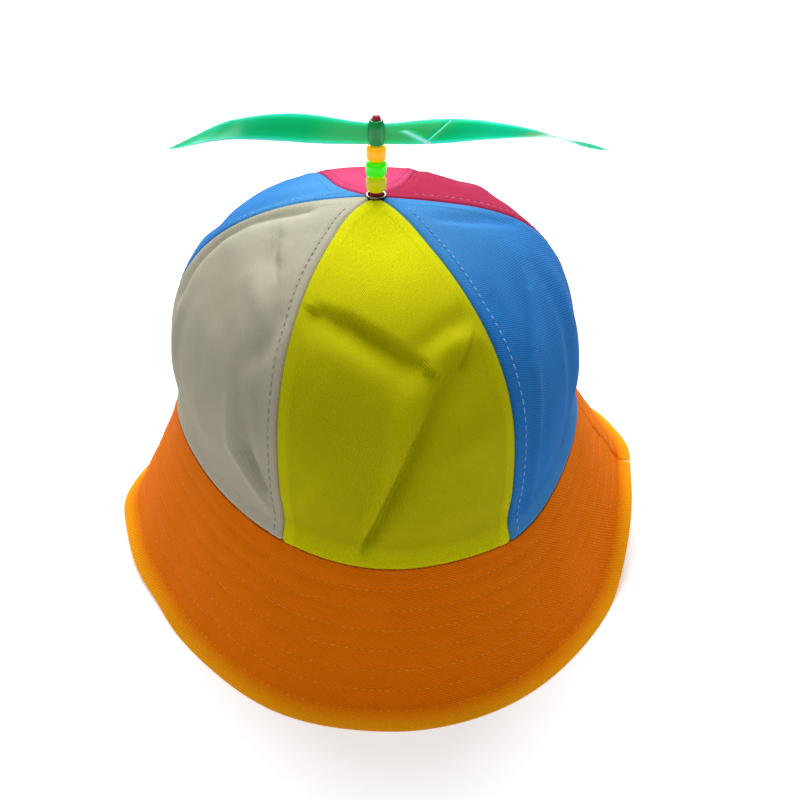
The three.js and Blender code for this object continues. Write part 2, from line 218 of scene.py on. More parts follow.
def ramp(tree, source, stops):
    # stops: (position, colour) from low to high
    n = node(tree, "ShaderNodeValToRGB")
    tree.links.new(source, n.inputs[0])
    elements = n.color_ramp.elements
    elements[0].position, elements[0].color = stops[0]
    elements[1].position, elements[1].color = stops[-1]
    for position, colour in stops[1:-1]:
        elements.new(position).color = colour
    return n.outputs[0]


# Cotton twill, woven and piece dyed: matt, with fine diagonal ribs, thicker and thinner threads,
# slightly uneven dye and a trace of fuzz. A paler colour is painted where light falls on the
# cloth: painted light. The ribs are drawn 0.85 mm apart, about twice the real spacing, so that
# they show in the render.
twill = {
    "rib": 0.85, "ribWander": 0.5, "roughness": 0.9, "roughSpread": 0.08, "bump": 0.1,
    "slubStretch": (0.9, 2.6, 0), "slubSize": 0.9, "slubShare": 0.55, "slubHeight": 0.6,
    "dyeSize": 38.0, "dyeShare": 0.5, "toneLow": 0.25, "toneHigh": 0.95,
    "fuzzSpread": 0.5, "shine": 0.08,
}
unitWave = 2 * math.pi / 20  # at this scale a wave texture repeats once a unit


def twillMaterial(name, dark, light, lightPaint, angle, ribShow, sheen=0.05):
    material, tree, shader = newMaterial(name)
    cloth = node(tree, "ShaderNodeAttribute", {"attribute_name": "placeAndLight"})
    turned = node(tree, "ShaderNodeMapping", {"Rotation": (0, 0, math.radians(angle))},
                  Vector=cloth.outputs["Vector"])
    flat = node(tree, "ShaderNodeMapping", {"Scale": (1, 1, 0)}, Vector=turned.outputs[0])
    ribs = node(tree, "ShaderNodeTexWave",
                {"wave_type": "BANDS", "bands_direction": "Y", "Scale": unitWave / twill["rib"],
                 "Distortion": twill["ribWander"], "Detail": 1.0, "Detail Scale": 0.7},
                Vector=flat.outputs[0])
    stretched = node(tree, "ShaderNodeMapping", {"Scale": twill["slubStretch"]},
                     Vector=turned.outputs[0])
    slub = noiseNode(tree, twill["slubSize"], 3.0, 0.6, stretched.outputs[0])
    dye = noiseNode(tree, twill["dyeSize"], 4.0, 0.55)

    # the colour: ribs, threads and dye together, then painted paler where light falls on the cloth
    uneven = node(tree, "ShaderNodeMath", {"operation": "MULTIPLY", 1: ribShow},
                  _0=ribs.outputs["Fac"]).outputs[0]
    uneven = addPart(tree, uneven, slub, twill["slubShare"])
    uneven = addPart(tree, uneven, dye, twill["dyeShare"])
    tone = ramp(tree, uneven,
                [(twill["toneLow"], linear(dark)), (twill["toneHigh"], linear(light))])
    # the attribute's third part is the share of painted light, broken up by the threads
    paintedLight = node(tree, "ShaderNodeSeparateXYZ", _0=cloth.outputs["Vector"])
    lightPaintShare = node(tree, "ShaderNodeMath", {"operation": "MULTIPLY"}, _0=paintedLight.outputs["Z"], _1=slub)
    # a colour mix has its factor at 0, its two colours at 6 and 7, and its result at 2
    colour = node(tree, "ShaderNodeMix", {"data_type": "RGBA", 7: linear(lightPaint)},
                  _0=lightPaintShare.outputs[0], _6=tone)

    height = addPart(tree, ribs.outputs["Fac"], slub, twill["slubHeight"])
    fill(tree, shader,
         {"Sheen Weight": sheen, "Sheen Roughness": twill["fuzzSpread"],
          "Sheen Tint": linear(lightPaint), "Specular IOR Level": twill["shine"]},
         {"Base Color": colour.outputs[2], "Normal": bumpNode(tree, height, 0.8, twill["bump"]),
          "Roughness": rangeNode(tree, slub, twill["roughness"] - twill["roughSpread"],
                                 twill["roughness"] + twill["roughSpread"])})
    return material


# Spun polyester sewing thread: a soft shine along each stitch
def threadMaterial(name, dark, light):
    material, tree, shader = newMaterial(name)
    twist = noiseNode(tree, 1800.0, 2.0)
    fill(tree, shader, {"Roughness": 0.7, "Specular IOR Level": 0.15},
         {"Base Color": ramp(tree, twist, [(0.3, linear(dark)), (0.7, linear(light))]),
          "Normal": bumpNode(tree, twist, 0.5, 0.08)})
    return material


# Injection-moulded plastic, coloured through: glossy with fine scuffs, and cloudy to a depth of
# scatter mm. Its emission is a painted glow that stands in for light shining through the plastic.
def mouldedMaterial(name, dark, light, subsurface=0.5, scatter=1.2, paintedGlow=0.0, clear=0.0):
    material, tree, shader = newMaterial(name)
    cloud = noiseNode(tree, 160.0, 3.0)
    scuff = noiseNode(tree, 900.0, 4.0)
    fill(tree, shader,
         {"Subsurface Weight": subsurface, "Subsurface Radius": (1.0, 1.0, 0.6),
          "Subsurface Scale": scatter * mm, "Emission Color": linear(light),
          "Emission Strength": paintedGlow, "Transmission Weight": clear, "IOR": 1.5},
         {"Base Color": ramp(tree, cloud, [(0.3, linear(dark)), (0.7, linear(light))]),
          "Roughness": rangeNode(tree, scuff, 0.14, 0.3),
          "Normal": bumpNode(tree, scuff, 0.15, 0.05)})
    return material


# Stamped brass, nickel plated and dulled by handling
def plateMaterial(name):
    material, tree, shader = newMaterial(name)
    tarnish = noiseNode(tree, 420.0, 4.0)
    tone = ramp(tree, tarnish, [(0.35, linear("#6f6a55")), (0.6, linear("#cfcbb8"))])
    fill(tree, shader, {"Metallic": 1.0},
         {"Base Color": tone, "Roughness": rangeNode(tree, tarnish, 0.25, 0.45)})
    return material


cloths = {
    "yellow": twillMaterial("yellowTwill", "#a8a400", "#c0bc00", "#ffff00", 55, 0.35, 0.02),
    "blue": twillMaterial("blueTwill", "#0e5fae", "#2f80cc", "#62aeea", 33, 0.4),
    "rose": twillMaterial("roseTwill", "#981434", "#b4264a", "#f8609a", 38, 0.25),
    "grey": twillMaterial("greyTwill", "#a8a28b", "#beb8a3", "#d4d1c0", 42, 0.22),
    "orange": twillMaterial("orangeTwill", "#e06000", "#fc8000", "#ffb010", 20, 0.6, 0.02),
}
threads = {
    "grey": threadMaterial("greyThread", "#8f8a77", "#b4af9e"),
    "paleBlue": threadMaterial("paleBlueThread", "#6ba8e4", "#a2ccf4"),
    "paleRose": threadMaterial("paleRoseThread", "#e07a9c", "#f8b0c4"),
    "rose": threadMaterial("roseThread", "#c03a60", "#e8688c"),
    "orange": threadMaterial("orangeThread", "#f08010", "#ffa830"),
}
print("materials made")


# The crown's even dome, over which the folds are laid
crown = {
    "halfWidth": 83.1, "halfLength": 103.0, "height": 98.5, "wall": 20.0,
    "seamHeight": 46.5, "sideRise": 15.7,
    "reachPower": 1.71, "heightPower": 3.21,
    "roundTop": 0.4,  # the dome's rings are round up to this share of its reach
    "cloth": 1.6, "seamGap": 0.14, "hole": 3.8,
    "driftPower": 1.8, "swingPower": 4,
    "columns": 84, "rows": 150,
}
meanRadius = math.sqrt(crown["halfWidth"] * crown["halfLength"])
profileTurn = np.linspace(0, math.pi / 2, 600)
profileReach = np.cos(profileTurn).clip(0) ** (2 / crown["reachPower"])
profileClimb = np.sin(profileTurn) ** (2 / crown["heightPower"])
profileHeight = crown["wall"] + (crown["height"] - crown["wall"]) * profileClimb
profileSteps = np.hypot(np.diff(profileReach) * meanRadius, np.diff(profileHeight))
profileLength = np.concatenate([[0], np.cumsum(profileSteps)])
domeLength = profileLength[-1] - crown["hole"]

# Where the crown seam hangs lower: degrees from the front, mm, and degrees over which it fades
seamSags = [
    {"angle": 36, "depth": 6.3, "spread": 17},
    {"angle": 92, "depth": 3.5, "spread": 16},
    {"angle": -105, "depth": 9.0, "spread": 20},
]


def seamRise(angle):
    rise = crown["sideRise"] * np.sin(angle) ** 2
    for sag in seamSags:
        turn = turnBetween(angle, math.radians(sag["angle"])) / math.radians(sag["spread"])
        rise = rise - sag["depth"] * np.exp(-(turn ** 2))
    return rise


def crownHeightAt(angle):
    # the length of cloth from the crown seam to the eyelet
    return crown["wall"] - seamRise(angle) + domeLength


def crownPoint(angle, up):
    rise = seamRise(angle)
    wall = crown["wall"] - rise
    climbed = up * (wall + domeLength)
    reach = np.where(climbed < wall, 1.0, np.interp(climbed - wall, profileLength, profileReach))
    height = np.where(climbed < wall, rise + climbed,
                      np.interp(climbed - wall, profileLength, profileHeight))
    oval = smooth(reach, 0, crown["roundTop"])
    x = mix(meanRadius, crown["halfWidth"], oval) * reach * np.sin(angle)
    y = -mix(meanRadius, crown["halfLength"], oval) * reach * np.cos(angle)
    return np.stack([x, y, crown["seamHeight"] + height], -1)


# Seams: degrees from the front where each meets the brim, how far it wanders at two thirds of
# its height, and how far it swings on its way to the eyelet
seams = [
    {"angle": 29, "drift": 0, "swing": 4},
    {"angle": 97.5, "drift": 0, "swing": -17},
    {"angle": 150, "drift": 5.5, "swing": -23},
    {"angle": 206, "drift": -10, "swing": 32},
    {"angle": 262.5, "drift": 1, "swing": -3.5},
    {"angle": 328, "drift": -2.5, "swing": -19},
]

# Where the crown stands fuller or flatter than an even dome: degrees from the front, share of
# its height, and mm
fullness = [
    {"angle": 266, "up": 0.62, "size": 2.5},
    {"angle": 228, "up": 0.74, "size": -1.5},
    {"angle": 175, "up": 0.8, "size": -1.5},
    {"angle": 122, "up": 0.62, "size": -0.75},
    {"angle": 98, "up": 0.42, "size": 2.0},
    {"angle": 78, "up": 0.2, "size": -1.8},
    {"angle": 70, "up": 0.6, "size": 1.0},
]
fullnessWidth = 40.0
fullnessReach = 0.8  # of the crown's mean radius, where these places are measured across

# Seam allowances, hem and small unevenness of the cloth
sewing = {
    "valleyDepth": 0.45, "valleyReach": 6.0,  # the cloth draws in towards a seam
    "rollDepth": 0.5, "rollReach": 0.9,  # and turns down into it
    "allowance": 0.22, "allowanceWidth": 5.4,  # the folded edges under each side of a seam
    "allowanceStart": 0.4, "allowanceFull": 1.4, "allowanceEnd": 1.0,
    "narrowPanel": 6, "widePanel": 20,  # near the eyelet there is no room for the folded edges
    "stitchDent": 0.3, "dentWidth": 0.8, "stitchPull": 0.3,
    "hemFlare": 1.6, "hemHeight": 7.5, "hemRise": 24.0, "hemRoll": 0.5, "hemRollReach": 1.2,
    "hemFade": 0.1, "topFade": 0.2,  # shares of the height over which the folds die out
}
crumples = [{"size": 26, "height": 0.55}, {"size": 9, "height": 0.16}]
crownThread = {"pitch": 3.2, "share": 0.7, "radius": 0.27, "lift": 0.06, "flatness": 0.8,
               "overrun": 0.5, "start": 0.015, "end": 0.93}

# Painted light: the cloth is painted paler where it bends out, along its hem and allowances, and
# on top, where light falls on it
paintedLight = {
    "perBend": 0.12, "mostBend": 0.4,
    "hem": 0.65, "hemFull": 4, "hemEnd": 10,
    "edgeFull": 0.3, "edgeEnd": 0.6, "topStart": 0.5, "topFull": 0.85,
}

# A fold fades towards both ends of its line, from full strength at its middle
foldFade = {"least": 0.35, "start": 0.12}


def foldAlong(line, width, depth, endWidth=None, sharp=2, lean=0):
    # line: shares of the panel's width and height. width and depth are mm, endWidth is the width
    # at the far end. A sharp of 2 is round and of 1 a crease, and lean is how much wider the fold
    # is on the left of its line than on the right.
    return {"line": line, "width": width, "depth": depth, "sharp": sharp, "lean": lean,
            "endWidth": width if endWidth is None else endWidth}


# The panels, each between two of the seams. topstitch says beside which of its edges a row of
# stitching runs (0 is the first seam, 1 the second), stitchAt how many mm from it.
# each panel's two amounts of paler colour, on its allowances and on top, are painted light
panels = [
    {"name": "panel_front", "from": 5, "to": 0, "cloth": "yellow", "slot": "cloth_yellow",
     "topstitch": [], "edgeLightPaint": 0.3, "topLightPaint": 1.15, "seed": 1.7,
     "folds": [
         foldAlong([(0.14, 0.6), (0.3, 0.595), (0.45, 0.56), (0.62, 0.5)], 5.6, -5.2, lean=-0.5),
         foldAlong([(0.79, 0.48), (0.68, 0.42), (0.57, 0.33), (0.46, 0.2), (0.34, 0.05)],
                   8.0, -6.4, endWidth=1.8, lean=0.5),
         foldAlong([(0.64, 0.48), (0.56, 0.435), (0.48, 0.36), (0.4, 0.2), (0.31, 0.05)],
                   6, 1.7, endWidth=2.2),
         foldAlong([(0.98, 0.6), (0.81, 0.58), (0.63, 0.54)], 4.5, -1.7),
         foldAlong([(0.95, 0.535), (0.81, 0.54), (0.68, 0.515)], 4.5, 1.5),
         foldAlong([(0.62, 0.28), (0.8, 0.31), (0.95, 0.34)], 4, 0.7),
         foldAlong([(0.09, 0.15), (0.23, 0.29)], 3.6, 1.0),
         foldAlong([(0.07, 0.3), (0.2, 0.42)], 5, 0.9),
         foldAlong([(0.28, 0.4), (0.34, 0.26)], 13, -2.4),
     ]},
    {"name": "panel_front_right", "from": 0, "to": 1, "cloth": "blue", "slot": "cloth_blue",
     "topstitch": [0], "thread": "paleBlue", "stitchAt": 4.3,
     "edgeLightPaint": 0.1, "topLightPaint": 0.75, "seed": 5.1,
     "folds": [
         foldAlong([(0.37, 0.525), (0.15, 0.415), (0.11, 0.3), (0.09, 0.03)],
                   3.6, 2.6, sharp=1.3, lean=0.5),
         foldAlong([(0.58, 0.5), (0.46, 0.3), (0.4, 0.06)], 7, -2.2),
         foldAlong([(0.42, 0.86), (0.6, 0.8), (0.78, 0.7), (0.9, 0.6)], 4.5, -1.9, lean=0.3),
         foldAlong([(0.4, 0.9), (0.66, 0.84), (0.86, 0.74)], 5, 1.1),
         foldAlong([(0.13, 0.62), (0.1, 0.56)], 6, -1.3),
         foldAlong([(0.2, 0.56), (0.16, 0.5)], 5, 1.0),
         foldAlong([(0.16, 0.42), (0.12, 0.1)], 5, -1.3),
         foldAlong([(0.8, 0.56), (0.74, 0.2)], 10, -1.3),
     ]},
    {"name": "panel_back_right", "from": 1, "to": 2, "cloth": "rose", "slot": "cloth_rose",
     "topstitch": [0], "thread": "paleRose", "stitchAt": 4.0,
     "edgeLightPaint": 0.1, "topLightPaint": 0.15, "seed": 8.3,
     "folds": [
         foldAlong([(0.15, 0.45), (0.45, 0.36), (0.75, 0.3)], 8, -2.3),
         foldAlong([(0.35, 0.7), (0.5, 0.58), (0.6, 0.45)], 7, 1.4),
         foldAlong([(0.3, 0.25), (0.22, 0.05)], 5, 1.2, sharp=1.4),
         foldAlong([(0.7, 0.22), (0.76, 0.04)], 5, -1.1),
     ]},
    {"name": "panel_back", "from": 2, "to": 3, "cloth": "rose", "slot": "cloth_rose",
     "topstitch": [0, 1], "thread": "rose", "stitchAt": 3.6,
     "edgeLightPaint": 0.1, "topLightPaint": 0.9, "seed": 11.9,
     "folds": [
         foldAlong([(0.15, 0.52), (0.45, 0.47), (0.8, 0.42)], 6, -2.6, lean=0.3),
         foldAlong([(0.2, 0.44), (0.5, 0.4)], 6, 1.2),
         foldAlong([(0.52, 0.36), (0.47, 0.18), (0.45, 0.03)], 6, 1.7, endWidth=2.5, sharp=1.5),
         foldAlong([(0.72, 0.3), (0.66, 0.08)], 5, -1.4),
         foldAlong([(0.2, 0.32), (0.28, 0.1)], 5, -1.2),
     ]},
    {"name": "panel_back_left", "from": 3, "to": 4, "cloth": "blue", "slot": "cloth_blue",
     "topstitch": [1], "thread": "paleBlue", "stitchAt": 4.0,
     "edgeLightPaint": 0.1, "topLightPaint": 0.9, "seed": 14.2,
     "folds": [
         foldAlong([(0.25, 0.35), (0.5, 0.45), (0.8, 0.5)], 7, -2.2),
         foldAlong([(0.5, 0.86), (0.75, 0.76), (0.9, 0.62)], 5, -1.7),
         foldAlong([(0.6, 0.3), (0.66, 0.06)], 5, 1.3, sharp=1.4),
         foldAlong([(0.35, 0.22), (0.3, 0.04)], 5, -1.0),
     ]},
    {"name": "panel_front_left", "from": 4, "to": 5, "cloth": "grey", "slot": "cloth_grey",
     "topstitch": [1], "thread": "grey", "stitchAt": 3.4,
     "edgeLightPaint": 0.1, "topLightPaint": 0.6, "seed": 17.6,
     "folds": [
         foldAlong([(0.24, 0.82), (0.14, 0.74), (0.09, 0.66), (0.08, 0.56), (0.1, 0.46),
                    (0.14, 0.36)],
                   3.4, -3.2, sharp=1.5),
         foldAlong([(0.14, 0.68), (0.14, 0.56), (0.17, 0.46)], 6, 0.8),
         foldAlong([(0.46, 0.7), (0.58, 0.66), (0.7, 0.64)], 4.0, -2.4, lean=-0.3),
         foldAlong([(0.36, 0.52), (0.5, 0.46), (0.62, 0.44)], 8, -1.4),
         foldAlong([(0.86, 0.44), (0.9, 0.37), (0.91, 0.3)], 4.5, -1.6, lean=0.3),
         foldAlong([(0.6, 0.58), (0.74, 0.55), (0.82, 0.52)], 4.5, 1.3),
         foldAlong([(0.92, 0.54), (0.88, 0.47), (0.8, 0.4)], 5, -1.6),
         foldAlong([(0.3, 0.36), (0.34, 0.24), (0.38, 0.08)], 5, -0.8),
         foldAlong([(0.24, 0.36), (0.27, 0.2)], 4, 0.9),
         foldAlong([(0.78, 0.29), (0.8, 0.2), (0.88, 0.15), (0.94, 0.08)], 3.2, 2.4, lean=-0.4),
         foldAlong([(0.83, 0.28), (0.85, 0.2), (0.92, 0.14)], 3.0, -2.6, lean=0.3),
         foldAlong([(0.78, 0.36), (0.84, 0.3)], 3.4, -1.2),
         foldAlong([(0.55, 0.24), (0.62, 0.1)], 4, 0.7),
         foldAlong([(0.4, 0.2), (0.5, 0.06)], 5, -0.6),
     ]},
]


def seamAngle(seam, up):
    drift = seam["drift"] * np.sin(math.pi * up ** crown["driftPower"])
    return np.radians(seam["angle"] + drift + seam["swing"] * up ** crown["swingPower"])


def foldHeight(fold, across, up, width, height):
    # the distance from the fold's line is taken on the cloth, in mm
    x = across * width
    y = up * height
    best = np.full(across.shape, 1e9)
    side = np.ones(across.shape)
    gone = np.zeros(across.shape)
    line = fold["line"]
    for i in range(len(line) - 1):
        x0 = line[i][0] * width
        y0 = line[i][1] * height
        runX = line[i + 1][0] * width - x0
        runY = line[i + 1][1] * height - y0
        share = ((x - x0) * runX + (y - y0) * runY) / (runX ** 2 + runY ** 2)
        held = np.clip(share, 0, 1)
        offX = x - x0 - held * runX
        offY = y - y0 - held * runY
        distance = np.hypot(offX, offY)
        nearer = distance < best
        best = np.where(nearer, distance, best)
        side = np.where(nearer, np.sign(runX * offY - runY * offX), side)
        gone = np.where(nearer, (i + held) / (len(line) - 1), gone)
    phase = mix(foldFade["start"], 1 - foldFade["start"], gone)
    fade = mix(foldFade["least"], 1, np.sin(math.pi * phase))
    wide = mix(fold["width"], fold["endWidth"], gone) * (1 + side * fold["lean"])
    return fold["depth"] * fade * np.exp(-((best / wide) ** fold["sharp"]))


def panelEdges(panel, up):
    # the angles of the two seams that a panel lies between
    start = seamAngle(seams[panel["from"]], up)
    end = seamAngle(seams[panel["to"]], up)
    return np.where(end < start, start - 2 * math.pi, start), end


def panelSurface(panel, across, up):
    # the outside of a panel with its folds, seams and hem, the even dome's normal there, and the
    # place on the cloth with its share of painted light
    start, end = panelEdges(panel, up)
    edge = crownPoint(start, up)
    halfGap = crown["seamGap"] / 2 / np.hypot(edge[..., 0], edge[..., 1])
    angle = mix(start + halfGap, end - halfGap, across)
    place = crownPoint(angle, up)
    width = (end - start) * np.hypot(place[..., 0], place[..., 1])
    height = crownHeightAt(angle)
    climbed = up * height
    fromStart = across * width
    fromEnd = (1 - across) * width
    fromSeam = np.minimum(fromStart, fromEnd)

    relief = sum(foldHeight(f, across, up, width, height) for f in panel["folds"])
    flat = np.stack([across * width, climbed, np.full(across.shape, panel["seed"] * 10)], -1)
    for crumple in crumples:
        relief = relief + crumple["height"] * ripple(flat, crumple["size"], panel["seed"])
    clear = smooth(fromSeam, 0, sewing["valleyReach"])
    relief = relief * clear
    relief = relief - sewing["valleyDepth"] * (1 - clear)
    for swell in fullness:
        turn = turnBetween(angle, math.radians(swell["angle"]))
        far = np.hypot(turn * meanRadius * fullnessReach, (up - swell["up"]) * height)
        relief = relief + swell["size"] * np.exp(-((far / fullnessWidth) ** 2))
    relief = relief * smooth(up, 0, sewing["hemFade"]) * (1 - smooth(up, 1 - sewing["topFade"], 1))

    # the seams, with their folded edges and topstitching
    relief = relief - sewing["rollDepth"] * (1 - smooth(fromSeam, 0, sewing["rollReach"]))
    wide = smooth(width, sewing["narrowPanel"], sewing["widePanel"])
    allowed = sewing["allowanceWidth"]
    under = smooth(fromSeam, sewing["allowanceStart"], sewing["allowanceFull"])
    under = under * (1 - smooth(fromSeam, allowed, allowed + sewing["allowanceEnd"]))
    relief = relief + sewing["allowance"] * under * wide
    for sewn in panel["topstitch"]:
        off = fromStart if sewn == 0 else fromEnd
        dent = np.exp(-(((off - panel["stitchAt"]) / sewing["dentWidth"]) ** 2))
        wave = np.cos(2 * math.pi * climbed / crownThread["pitch"])
        pull = 1 - sewing["stitchPull"] + sewing["stitchPull"] * wave
        relief = relief - sewing["stitchDent"] * dent * pull * wide

    # the hem flares out over the crown seam and rolls in at its end
    hem = smooth(climbed, 0, sewing["hemHeight"])
    above = smooth(climbed, sewing["hemHeight"], sewing["hemRise"])
    relief = relief - sewing["hemFlare"] * (hem - above)
    relief = relief - sewing["hemRoll"] * (1 - smooth(climbed, 0, sewing["hemRollReach"]))
    normal = surfaceNormal(crownPoint, angle, up)

    # painted light: paler where the cloth bends out, along the hem, over the allowances low down and
    # on top
    lightPaint = np.clip(relief * paintedLight["perBend"], 0, paintedLight["mostBend"])
    lightPaint = lightPaint + paintedLight["hem"] * (1 - smooth(climbed, paintedLight["hemFull"], paintedLight["hemEnd"]))
    low = 1 - smooth(up, paintedLight["edgeFull"], paintedLight["edgeEnd"])
    lightPaint = lightPaint + panel["edgeLightPaint"] * under * wide * low
    lightPaint = lightPaint + panel["topLightPaint"] * smooth(up, paintedLight["topStart"], paintedLight["topFull"])
    cloth = np.stack([(across - 0.5) * width, climbed, lightPaint], -1)
    return place + normal * relief[..., None], normal, cloth


def buildPanel(panel):
    def outer(across, up):
        places, _, cloth = panelSurface(panel, across, up)
        return places, cloth

    def inner(across, up):
        places, normals, cloth = panelSurface(panel, across, up)
        return places - normals * crown["cloth"], cloth

    mesh = shellMesh(panel["name"] + "_cloth", crown["columns"], crown["rows"], outer, inner)
    piece = addObject(panel["name"] + "_cloth", mesh, cloths[panel["cloth"]])
    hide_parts(panel["name"])
    rows = []
    for sewn in panel["topstitch"]:
        up = np.linspace(crownThread["start"], crownThread["end"], 500)
        start, end = panelEdges(panel, up)
        middle = crownPoint((start + end) / 2, up)
        width = (end - start) * np.hypot(middle[:, 0], middle[:, 1])
        across = panel["stitchAt"] / width
        across = across if sewn == 0 else 1 - across
        points, normals, _ = panelSurface(panel, across, up)
        rows.append((points, normals))
    if rows:
        mesh = stitchMesh(panel["name"] + "_topstitch", rows, crownThread)
        addObject(panel["name"] + "_topstitch", mesh, threads[panel["thread"]])


for panel in panels:
    buildPanel(panel)
print("crown made")


# Brim
brim = {
    "rimHalfWidth": 109.3, "rimHalfLength": 136.0,
    "rightPower": 1.95, "leftPower": 1.86, "flankPower": 1.62, "backPower": 2.0,
    "flankStart": 0.35, "flankEnd": 0.9,
    "rightLift": 23.0, "leftLift": 2.0, "liftStartFront": 0.78, "liftStartBack": 0.85,
    "turnTop": math.radians(-11), "turnRim": math.radians(-7.5),
    "cloth": 2.4, "hollow": 2.0, "gap": 0.1,
    "columns": 300, "rows": 66,
    "stitchRows": 7, "firstRow": 0.13, "lastRow": 0.885,
    "quilt": 0.32, "quiltWidth": 1.3,  # each row of stitching draws the cloth in
    "joinDrop": 0.3, "holdTop": 0.05, "holdRim": 0.96,  # it is held even at both its edges
    "edgeRound": 0.6, "seamDepth": 0.5, "seamReach": 1.2,
    # it dips towards the last row of stitching and bends up past it
    "dip": 1.9, "dipStart": 0.55, "curl": 3.2, "curlEnd": 1.06,
}
brimCrumples = [{"size": 17, "height": 0.35}, {"size": 6, "height": 0.12}]
crumpleSpread = {"round": 110, "out": 1.4, "layer": 3.0}
# the weave of the brim, which is cut flat as part of a ring, and the painted light that makes it
# paler at its edge, where light bounces up from the table, and where it bends out
brimWeave = {"unroll": 0.55, "innerRing": 93, "width": 57, "edge": 1.6, "edgeStart": 0.02,
             "perBend": 0.15}
brimThread = {"pitch": 2.9, "share": 0.72, "radius": 0.22, "lift": 0.02, "flatness": 0.8,
              "overrun": 0.5, "start": 0.004, "end": 0.996}
stitchShares = np.linspace(brim["firstRow"], brim["lastRow"], brim["stitchRows"])

# Where the rim stands out or in from its even oval: degrees from the front, mm, and degrees
# over which it fades
rimSwells = [
    {"angle": -27, "reach": 3.0, "spread": 15},
    {"angle": -63, "reach": -1.3, "spread": 7},
    {"angle": -92, "reach": 1.6, "spread": 6},
    {"angle": -112, "reach": -3.2, "spread": 11},
    {"angle": 38, "reach": -1.0, "spread": 14},
    {"angle": 87, "reach": 2.4, "spread": 6},
    {"angle": 106, "reach": -2.5, "spread": 10},
]


def rimPoint(angle):
    # an oval with a squareness of its own on each side, which lifts at the right
    side, front = np.sin(angle), np.cos(angle)
    frontPower = np.where(side > 0, brim["rightPower"], brim["leftPower"])
    behind = smooth(-front, brim["flankStart"], brim["flankEnd"])
    back = mix(brim["flankPower"], brim["backPower"], behind)
    power = mix(frontPower, back, smooth(-front, 0, brim["flankStart"]))
    reach = (np.abs(side) ** power + np.abs(front) ** power) ** (-1 / power)
    lift = np.where(side > 0, brim["rightLift"], brim["leftLift"])
    start = np.where(front > 0, brim["liftStartFront"], brim["liftStartBack"])
    x = brim["rimHalfWidth"] * side * reach
    y = -brim["rimHalfLength"] * front * reach
    swell = 1.0
    for part in rimSwells:
        turn = turnBetween(angle, math.radians(part["angle"])) / math.radians(part["spread"])
        swell = swell + part["reach"] * np.exp(-(turn ** 2)) / np.hypot(x, y)
    return np.stack([x * swell, y * swell, lift * smooth(np.abs(side), start, 1)], -1)


def outAndUp(level, out, up):
    # a vector that goes out along the level direction and straight up
    return np.stack([level[..., 0] * out, level[..., 1] * out, up], -1)


def brimPoint(angle, out):
    top = np.stack([crown["halfWidth"] * np.sin(angle), -crown["halfLength"] * np.cos(angle),
                    crown["seamHeight"] + seamRise(angle) - brim["joinDrop"]], -1)
    rim = rimPoint(angle)
    level = rim[..., :2] - top[..., :2]
    run = np.linalg.norm(level, axis=-1)
    slope = np.arctan2(top[..., 2] - rim[..., 2], run)
    level = level / run[..., None]
    sag = brim["hollow"] * np.sin(math.pi * out)
    place = mix(top, rim, out[..., None]) - outAndUp(level, sag * np.sin(slope), sag * np.cos(slope))
    return place, level, slope


def brimSurface(half, across, up):
    # up runs from the rim to the crown, as in the part
    out = 1 - up
    spread = math.pi / 2 - brim["gap"] / 2 / crown["halfWidth"]
    side = mix(-spread, spread, across)
    angle = half["middle"] + mix(brim["turnTop"], brim["turnRim"], out) + side
    place, level, slope = brimPoint(angle, out)
    away = outAndUp(level, np.sin(slope), np.cos(slope))
    relief = np.zeros(across.shape)
    length = np.linalg.norm(rimPoint(angle) - brimPoint(angle, np.zeros(angle.shape))[0], axis=-1)
    for share in stitchShares:
        off = (out - share) * length
        relief = relief - brim["quilt"] * np.exp(-((off / brim["quiltWidth"]) ** 2))
    flat = np.stack([angle * crumpleSpread["round"], out * length * crumpleSpread["out"],
                     np.full(angle.shape, crumpleSpread["layer"])], -1)
    for crumple in brimCrumples:
        relief = relief + crumple["height"] * ripple(flat, crumple["size"], half["seed"])
    hold = smooth(out, 0, brim["holdTop"]) * (1 - smooth(out, brim["holdRim"], 1))
    relief = relief * hold + brim["curl"] * smooth(out, brim["lastRow"], brim["curlEnd"])
    relief = relief - brim["dip"] * smooth(out, brim["dipStart"], brim["lastRow"])
    fromSeam = np.minimum(across, 1 - across) * 2 * spread * np.hypot(place[..., 0], place[..., 1])
    relief = relief - brim["seamDepth"] * (1 - smooth(fromSeam, 0, brim["seamReach"])) * hold

    turn = brimWeave["unroll"] * (angle - half["middle"])
    ring = brimWeave["innerRing"] / brimWeave["unroll"] + out * brimWeave["width"]
    # painted light: the outer band and the cloth that bends out are painted paler
    edge = brimWeave["edge"] * smooth(out, brim["lastRow"] - brimWeave["edgeStart"], 1.0)
    lightPaint = edge + brimWeave["perBend"] * np.clip(relief, 0, 1)
    cloth = np.stack([ring * np.sin(turn), -ring * np.cos(turn), lightPaint], -1)
    return place + away * relief[..., None], away, level, slope, cloth


